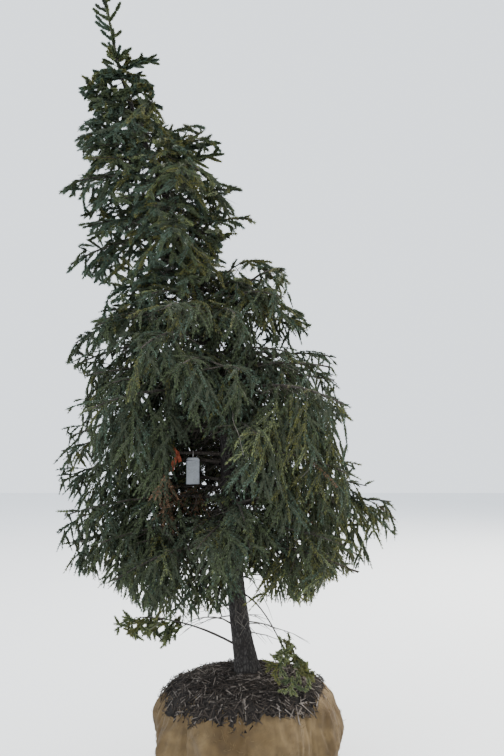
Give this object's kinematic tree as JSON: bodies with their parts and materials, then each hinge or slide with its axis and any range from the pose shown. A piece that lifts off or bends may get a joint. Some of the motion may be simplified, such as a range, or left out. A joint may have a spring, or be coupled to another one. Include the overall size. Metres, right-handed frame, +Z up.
{
  "type": "spruce tree",
  "caption": "Young leaning spruce with drooping boughs and a thin leader, dug for planting, standing on its burlap-wrapped root ball, with a blank hang tag and a marking ribbon.",
  "frame": {"origin": "middle of the root ball's flat underside, on the ground that it stands on", "axes": "+Z up, +X to the tree's right as its tag is seen, -Y its front, the side of the camera"},
  "size_m": [2.0447, 1.8201, 4.9546],
  "materials": {
    "burlap": "coarse woven burlap over soil, matt, gathered in pleats, with shredded mulch lying on its top",
    "trunk_bark": "grey-brown bark in thin scales, matt, with paler lichen tones on the lower stem",
    "bough_bark": "darker brown bark of young limbs, matt, rough with old leaf pegs",
    "tag_card": "blank white card on a loop of wire, slightly soiled",
    "ribbon_tape": "thin orange marking tape, slightly glossy, creased",
    "lower_needles": "dark green needles with a faint waxy sheen, some of them olive or dried brown",
    "upper_needles": "younger blue-green needles with a faint waxy sheen"
  },
  "bodies": {
    "root": {"bough_low_1": "bough_bark", "bough_low_2": "bough_bark", "bough_low_3": "bough_bark", "bough_low_4": "bough_bark", "bough_shoulder_1": "bough_bark", "bough_shoulder_2": "bough_bark", "bough_shoulder_3": "bough_bark", "bough_shoulder_4": "bough_bark", "bough_skirt_1": "bough_bark", "bough_skirt_2": "bough_bark", "bough_skirt_3": "bough_bark", "bough_skirt_4": "bough_bark", "bough_tagged_1": "bough_bark", "bough_tagged_2": "bough_bark", "bough_tagged_3": "bough_bark", "bough_waist_1": "bough_bark", "bough_waist_2": "bough_bark", "bough_waist_3": "bough_bark", "bough_waist_4": "bough_bark", "foliage_crest_1": "upper_needles", "foliage_crest_2": "upper_needles", "foliage_crest_3": "upper_needles", "foliage_high_1": "upper_needles", "foliage_high_2": "upper_needles", "foliage_high_3": "upper_needles", "foliage_low_1": "lower_needles", "foliage_low_2": "lower_needles", "foliage_low_3": "lower_needles", "foliage_low_4": "lower_needles", "foliage_middle_1": "upper_needles", "foliage_middle_2": "upper_needles", "foliage_middle_3": "upper_needles", "foliage_middle_4": "upper_needles", "foliage_neck_1": "upper_needles", "foliage_neck_2": "upper_needles", "foliage_neck_3": "upper_needles", "foliage_shoulder_1": "lower_needles", "foliage_shoulder_2": "lower_needles", "foliage_shoulder_3": "lower_needles", "foliage_shoulder_4": "lower_needles", "foliage_skirt_1": "lower_needles", "foliage_skirt_2": "lower_needles", "foliage_skirt_3": "lower_needles", "foliage_skirt_4": "lower_needles", "foliage_tagged_1": "lower_needles", "foliage_tagged_2": "lower_needles", "foliage_tagged_3": "lower_needles", "foliage_upper_1": "upper_needles", "foliage_upper_2": "upper_needles", "foliage_upper_3": "upper_needles", "foliage_upper_4": "upper_needles", "foliage_waist_1": "lower_needles", "foliage_waist_2": "lower_needles", "foliage_waist_3": "lower_needles", "foliage_waist_4": "lower_needles", "grower_tag": "tag_card", "leader": "upper_needles", "marking_ribbon": "ribbon_tape", "root_ball": "burlap", "trunk": "trunk_bark"}
  },
  "joints": []
}
